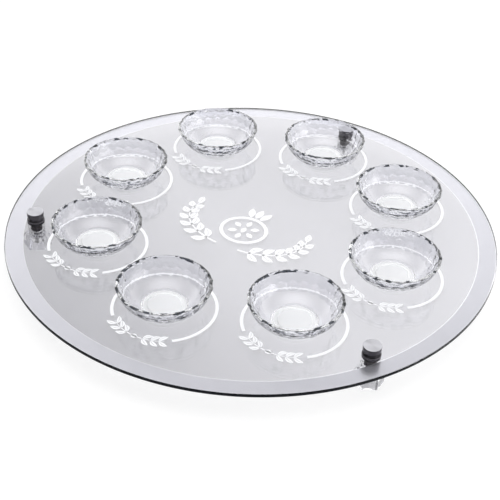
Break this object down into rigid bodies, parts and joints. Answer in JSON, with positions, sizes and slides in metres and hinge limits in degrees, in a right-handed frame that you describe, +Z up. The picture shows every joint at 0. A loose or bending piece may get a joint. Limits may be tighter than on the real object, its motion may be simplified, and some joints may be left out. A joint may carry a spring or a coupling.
{
  "type": "rosh hashanah plate",
  "caption": "Round flat glass serving plate on stand-offs with crystal feet, carrying a ring of loose faceted glass bowls.",
  "frame": {"origin": "on the plate's axis, at the table under the pads of the feet", "axes": "+Z up; +Y from the plate's centre to the bowl in front of the first stand-off"},
  "size_m": [0.4, 0.4, 0.0467],
  "materials": {
    "clear_glass": "float glass, polished edge",
    "bowl_crystal": "pressed and fire-polished crystal glass",
    "cut_crystal": "cut and polished crystal",
    "brushed_metal": "turned, top brushed",
    "turned_steel": "turned",
    "dark_rubber": "moulded, matt",
    "dark_plastic": "moulded",
    "clear_silicone": "moulded, clear"
  },
  "bodies": {
    "root": {"glass_plate": "clear_glass", "standoff_1_cap": "brushed_metal", "standoff_1_cap_washer": "dark_rubber", "standoff_1_stud": "turned_steel", "standoff_1_sleeve": "dark_plastic", "standoff_1_collar": "turned_steel", "standoff_1_insert": "turned_steel", "standoff_1_crystal_foot": "cut_crystal", "standoff_1_pad": "clear_silicone", "standoff_2_cap": "brushed_metal", "standoff_2_cap_washer": "dark_rubber", "standoff_2_stud": "turned_steel", "standoff_2_sleeve": "dark_plastic", "standoff_2_collar": "turned_steel", "standoff_2_insert": "turned_steel", "standoff_2_crystal_foot": "cut_crystal", "standoff_2_pad": "clear_silicone", "standoff_3_cap": "brushed_metal", "standoff_3_cap_washer": "dark_rubber", "standoff_3_stud": "turned_steel", "standoff_3_sleeve": "dark_plastic", "standoff_3_collar": "turned_steel", "standoff_3_insert": "turned_steel", "standoff_3_crystal_foot": "cut_crystal", "standoff_3_pad": "clear_silicone"},
    "bowl_1": {"bowl_1": "bowl_crystal"},
    "bowl_2": {"bowl_2": "bowl_crystal"},
    "bowl_3": {"bowl_3": "bowl_crystal"},
    "bowl_4": {"bowl_4": "bowl_crystal"},
    "bowl_5": {"bowl_5": "bowl_crystal"},
    "bowl_6": {"bowl_6": "bowl_crystal"},
    "bowl_7": {"bowl_7": "bowl_crystal"},
    "bowl_8": {"bowl_8": "bowl_crystal"}
  },
  "joints": [
    {"name": "bowl_1_lift", "type": "slide", "parent": "root", "child": "bowl_1", "axis": [0, 0, 1], "range_m": [0, 0.06]},
    {"name": "bowl_2_lift", "type": "slide", "parent": "root", "child": "bowl_2", "axis": [0, 0, 1], "range_m": [0, 0.06]},
    {"name": "bowl_3_lift", "type": "slide", "parent": "root", "child": "bowl_3", "axis": [0, 0, 1], "range_m": [0, 0.06]},
    {"name": "bowl_4_lift", "type": "slide", "parent": "root", "child": "bowl_4", "axis": [0, 0, 1], "range_m": [0, 0.06]},
    {"name": "bowl_5_lift", "type": "slide", "parent": "root", "child": "bowl_5", "axis": [0, 0, 1], "range_m": [0, 0.06]},
    {"name": "bowl_6_lift", "type": "slide", "parent": "root", "child": "bowl_6", "axis": [0, 0, 1], "range_m": [0, 0.06]},
    {"name": "bowl_7_lift", "type": "slide", "parent": "root", "child": "bowl_7", "axis": [0, 0, 1], "range_m": [0, 0.06]},
    {"name": "bowl_8_lift", "type": "slide", "parent": "root", "child": "bowl_8", "axis": [0, 0, 1], "range_m": [0, 0.06]}
  ]
}
